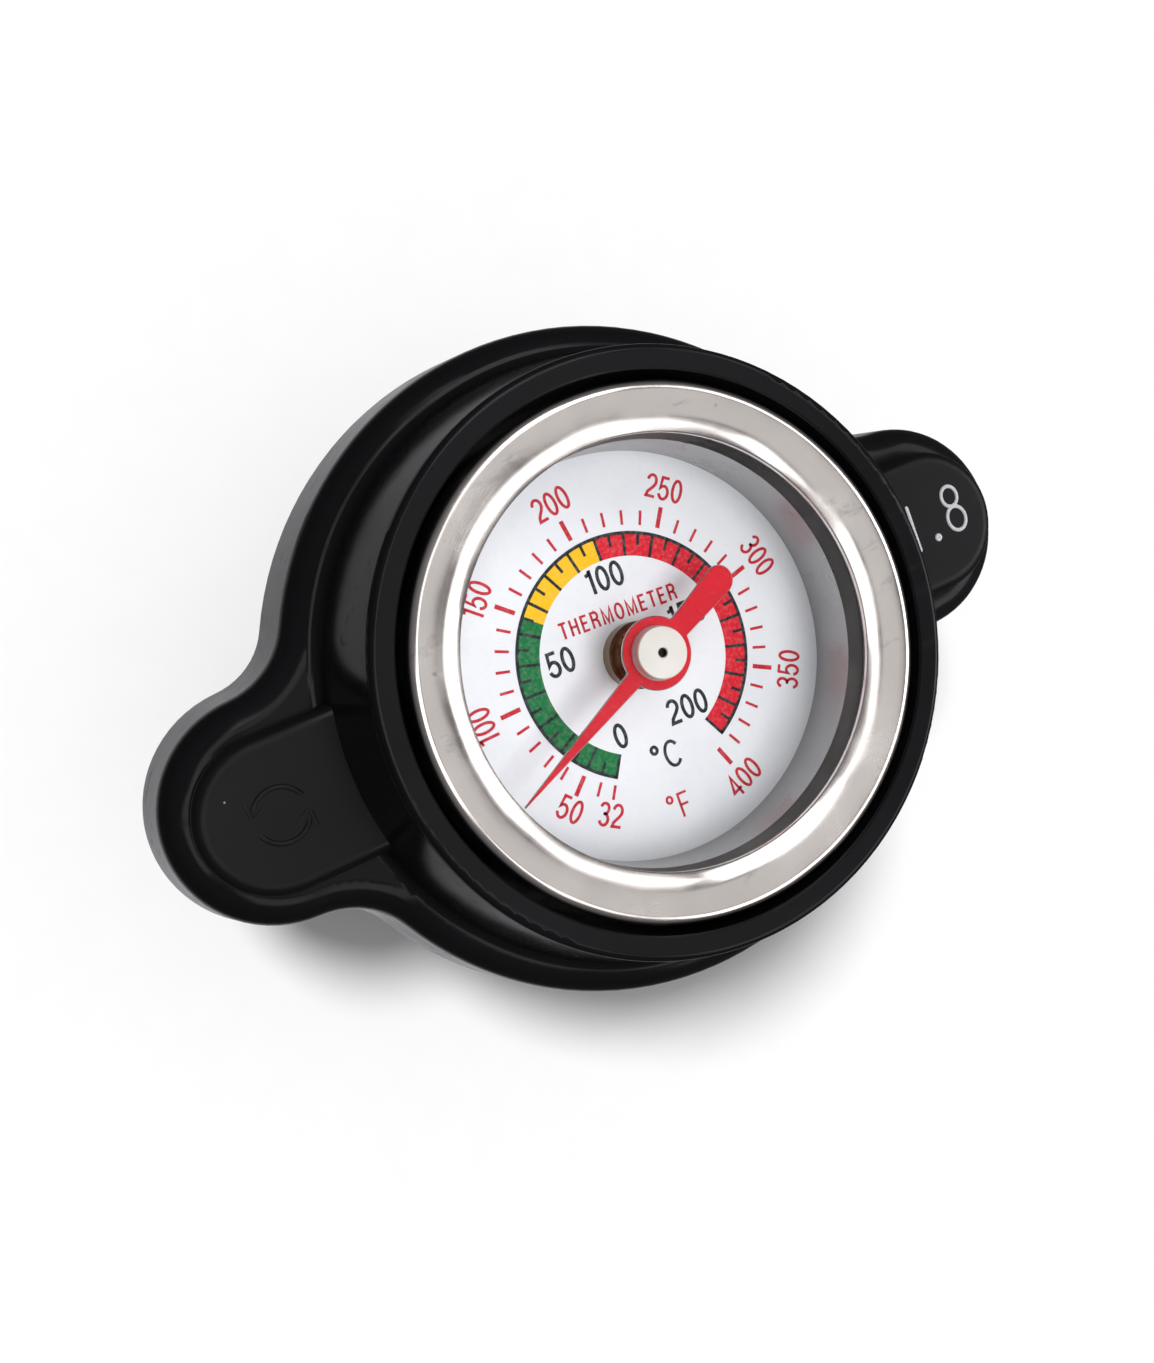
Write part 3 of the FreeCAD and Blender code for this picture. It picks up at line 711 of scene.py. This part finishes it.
def ridge(path, width, height, base_z, verts, faces, closed=False):
    """Add a raised line with a half-round section along a flat path."""
    section = [(-0.5, 0.0), (-0.44, 0.5), (-0.25, 0.88), (0.0, 1.0), (0.25, 0.88), (0.44, 0.5), (0.5, 0.0)]
    points = [Vector(p) for p in path]
    count, sides, first = len(points), len(section), len(verts)
    for i, p in enumerate(points):
        before = points[i - 1] if i or closed else p
        after = points[(i + 1) % count] if i < count - 1 or closed else p
        d = (after - before).normalized()
        end = not closed and i in (0, count - 1)
        for u, v in section:
            lift = 0.0 if end else v * height
            verts.append((p.x - d.y * u * width, p.y + d.x * u * width, base_z + lift))
    for k in range(count if closed else count - 1):
        a, b = first + sides * k, first + sides * ((k + 1) % count)
        for j in range(sides):
            m = (j + 1) % sides
            faces.append([a + j, b + j, b + m, a + m])


def build_rating():
    """The cap's pressure rating, 1.8 bar, as raised strokes coloured flat light grey on the +X ear."""
    verts, faces = [], []
    base = PAD_Z - 0.01
    marks = [([(23.70, 1.85), (23.66, 1.0), (23.62, 0.0), (23.58, -1.55), (23.56, -1.7)], False)]
    for cy, ry, rx in ((1.18, 0.74, 0.66), (-0.50, 0.88, 0.76)):
        turns = [math.radians(a) for a in range(0, 360, 10)]
        marks.append(([(27.35 + rx * math.cos(a), cy + ry * math.sin(a)) for a in turns], True))
    marks.append(([polar(0.16, a, (25.35, -1.25)) for a in range(0, 360, 30)], True))
    for path, closed in marks:
        ridge(path, 0.28, 0.09, base, verts, faces, closed)
    obj = new_object("ear_rating", verts, faces, 60)
    # The strokes get one flat light grey colour.
    place_piece(obj, "cap", INKS["grey"])


def build_turn_mark():
    """A plain embossed turning arrow on the -X ear."""
    verts, faces = [], []
    base = PAD_Z - 0.01
    centre, r, barb = (-25.2, -0.1), 1.75, 0.62
    for first in (20, 200):
        arc = [polar(r, first + a, centre) for a in range(0, 131, 10)]
        ridge(arc, 0.34, 0.11, base, verts, faces)
        point = polar(r, first + 148, centre)
        for side in (-barb, barb):
            foot = polar(r + side, first + 118, centre)
            middle = ((foot[0] + point[0]) / 2, (foot[1] + point[1]) / 2)
            ridge([foot, middle, point], 0.30, 0.10, base, verts, faces)
    obj = new_object("ear_turn_mark", verts, faces, 60)
    place_piece(obj, "cap", MATERIALS["black_plastic"])


def coil_spring(name, radius, wire, low, high, turns, material, body, node_name):
    """Compression spring with closed ends ground flat; wire is the wire's radius."""
    sides, per_turn = 14, 40
    closed = 0.75                   # turns that lie flat at each end
    steps = round(turns * per_turn)
    rise = high - low - 4 * wire
    verts, faces = [], []
    for k in range(steps + 1):
        t = k / per_turn
        flat_low, flat_high = min(t, closed), min(max(0.0, t - turns + closed), closed)
        free = min(max(t - closed, 0.0), turns - 2 * closed) / (turns - 2 * closed)
        z = low + wire * 0.6 + (flat_low + flat_high) / closed * wire * 0.7 + rise * free
        z = min(z, high - wire * 0.6)
        a = 2 * math.pi * t
        for j in range(sides):
            b = 2 * math.pi * j / sides
            r = radius + wire * math.cos(b)
            height = min(max(z + wire * math.sin(b), low), high)
            verts.append((r * math.cos(a), r * math.sin(a), height))
    for k in range(steps):
        for j in range(sides):
            m = (j + 1) % sides
            p, q = k * sides, (k + 1) * sides
            faces.append([p + j, q + j, q + m, p + m])
    faces.append(list(range(sides)))
    faces.append([steps * sides + j for j in reversed(range(sides))])
    obj = new_object(name, verts, faces)
    fix_normals(obj)
    smooth(obj, 50)
    return place_piece(obj, body, material, [node_name])


def build_springs():
    """Both springs, the pressure coil on the cage and the vacuum coil on the pressure valve."""
    low, high = (corner.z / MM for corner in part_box("pressure_spring"))
    obj = coil_spring("pressure_coil", 8.45, 0.7, low, high, 5.5,
                      MATERIALS["spring_steel"], "cage", "pressure_spring")
    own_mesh(obj)
    low, high = (corner.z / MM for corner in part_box("vacuum_spring"))
    obj = coil_spring("vacuum_coil", 5.3, 0.17, low, high, 4.5,
                      MATERIALS["spring_steel"], "pressure_valve", "vacuum_spring")
    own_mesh(obj)


# ---- camera, light, floor ------------------------------------------------------------
def build_camera():
    data = bpy.data.cameras.new("camera")
    data.sensor_width = 36.0
    data.lens = 36.98
    data.clip_start = 0.005
    data.clip_end = 20.0
    obj = bpy.data.objects.new("camera", data)
    right = Vector((0.86692, -0.37322, 0.33038))
    up = Vector((0.38927, 0.92093, 0.01889))
    back = Vector((-0.31131, 0.11223, 0.94366))
    turn = Matrix((right, up, back)).transposed().to_4x4()
    obj.matrix_world = Matrix.Translation(Vector((-33.01, 10.29, 92.67)) * MM) @ turn
    bpy.context.scene.collection.objects.link(obj)
    bpy.context.scene.camera = obj


def build_floor():
    """A pale paper floor under the probe's end; mirror reflections pass through it."""
    half = 6000.0
    low = FLOOR_Z - 0.05
    corners = [(-half, -half, low), (half, -half, low), (half, half, low), (-half, half, low)]
    floor = new_object("floor", corners, [[0, 1, 2, 3]])
    mat, tree, shader, place = start_material("floor_paper", Base_Color=(0.93, 0.93, 0.93, 1), Roughness=0.9)
    grain = noise(tree, place, 300.0)
    paper = mix_colour(tree, grain, (0.92, 0.92, 0.92, 1), (0.95, 0.95, 0.95, 1))
    tree.links.new(paper, shader.inputs["Base Color"])
    floor.data.materials.append(mat)
    floor.visible_glossy = False
    return floor


LAMP_DISTANCE = 1.5


def softbox(name, direction, size, radiance, receivers, tall=None, mirrored=True):
    """A soft lamp that faces the cap from a direction; radiance is how bright its face looks."""
    data = bpy.data.lights.new(name, "AREA")
    data.shape = "RECTANGLE"
    data.size = size
    data.size_y = tall or size
    data.energy = 4.0 * radiance * data.size * data.size_y
    obj = bpy.data.objects.new(name, data)
    obj.location = Vector(direction).normalized() * LAMP_DISTANCE
    obj.rotation_euler = (-obj.location).to_track_quat("-Z", "Y").to_euler()
    bpy.context.scene.collection.objects.link(obj)
    obj.light_linking.receiver_collection = receivers
    obj.visible_glossy = mirrored


def sunlight(name, direction, spread_deg, power, receivers):
    """Light from one direction that is as strong far out on the floor as beneath the cap."""
    data = bpy.data.lights.new(name, "SUN")
    data.energy = power
    data.angle = math.radians(spread_deg)
    obj = bpy.data.objects.new(name, data)
    obj.rotation_euler = (-Vector(direction)).to_track_quat("-Z", "Y").to_euler()
    bpy.context.scene.collection.objects.link(obj)
    obj.light_linking.receiver_collection = receivers


def light_group(name, objects, state):
    """A collection that makes lamps light only these objects, or everything but them."""
    group = bpy.data.collections.new(name)
    for index, obj in enumerate(objects):
        group.objects.link(obj)
        group.collection_objects[index].light_linking.link_state = state
    return group


def build_world():
    """Pale where the camera looks past the floor; for all other rays, dim above and lit from below."""
    world = bpy.data.worlds.new("studio")
    bpy.context.scene.world = world
    world.use_nodes = True
    tree = world.node_tree
    tree.nodes.clear()
    seen = node(tree, "LightPath").outputs["Is Camera Ray"]
    height = node(tree, "SeparateXYZ", {0: node(tree, "TexCoord").outputs["Generated"]}).outputs[2]
    glow = math_node(tree, "ADD", ramp(tree, height, -0.90, -0.62, 0.55, 0.05),
                     ramp(tree, height, 0.0, 0.6, 0.0, 0.11))
    dim = node(tree, "Background", {"Color": (0.97, 0.97, 1.0, 1), "Strength": glow})
    pale = node(tree, "Background", {"Color": (0.97, 0.97, 0.97, 1), "Strength": 1.0})
    both = node(tree, "MixShader", {0: seen, 1: dim.outputs[0], 2: pale.outputs[0]})
    out = node(tree, "OutputWorld")
    tree.links.new(both.outputs[0], out.inputs["Surface"])


def build_lamps(floor):
    cap_only = light_group("lamps_for_cap", [floor], "EXCLUDE")
    floor_only = light_group("lamps_for_floor", [floor], "INCLUDE")
    below = ("valve_cage", "cage_ring", "pressure_plate", "seal_plate", "pressure_seal", "seal_eyelet",
             "probe_tube", "probe_plug", "probe_retainer", "vacuum_valve", "vacuum_circlip", "bayonet_shell",
             "spring_disc")
    valve_only = light_group("lamps_for_valve", [frame["nodes"][name] for name in below], "INCLUDE")
    softbox("key", (0.15, -0.18, 0.97), 0.70, 6.0, cap_only, mirrored=False)
    softbox("overhead", (0.24, -0.11, 0.97), 0.95, 0.38, cap_only, tall=0.75)
    # A ring of panels around the flat tops' mirror direction, for the bezel's slopes.
    for name, direction, size, radiance in (
            ("top", (0.25, 0.52, 0.81), 0.75, 2.0), ("top_left", (-0.10, 0.25, 0.96), 0.45, 1.2),
            ("left", (-0.38, -0.05, 0.92), 0.75, 1.5), ("front_left", (-0.13, -0.55, 0.83), 0.55, 1.3),
            ("front", (0.33, -0.70, 0.64), 0.70, 1.4), ("front_right", (0.66, -0.48, 0.58), 0.60, 1.6),
            ("right", (0.84, -0.15, 0.52), 0.75, 2.2), ("back_right", (0.70, 0.28, 0.65), 0.60, 1.3)):
        softbox(name, direction, size, radiance, cap_only)
    for name, direction in (("low_right", (1.0, 0.3, 0.2)), ("low_back", (-0.5, 0.9, 0.2)),
                            ("low_left", (-0.5, -0.9, 0.2))):
        softbox(name, direction, 0.9, 1.3, valve_only, tall=0.7)
    sunlight("floor_key", (-0.24, 0.43, 0.87), 12.0, 2.70, floor_only)
    sunlight("floor_fill", (0.0, 0.0, 1.0), 75.0, 0.62, floor_only)


finish_nodes()
build_bezel()
build_spacer()
build_lens()
build_lens_gasket()
build_bands()
build_fahrenheit_ticks()
build_red_numbers()
build_black_numbers()
build_dial_words()
build_bushing()
build_pin()
build_pointer()
build_rating()
build_turn_mark()
build_springs()
build_camera()
build_world()
build_lamps(build_floor())

bpy.context.scene.view_settings.view_transform = "Standard"
bpy.context.scene.view_settings.look = "None"
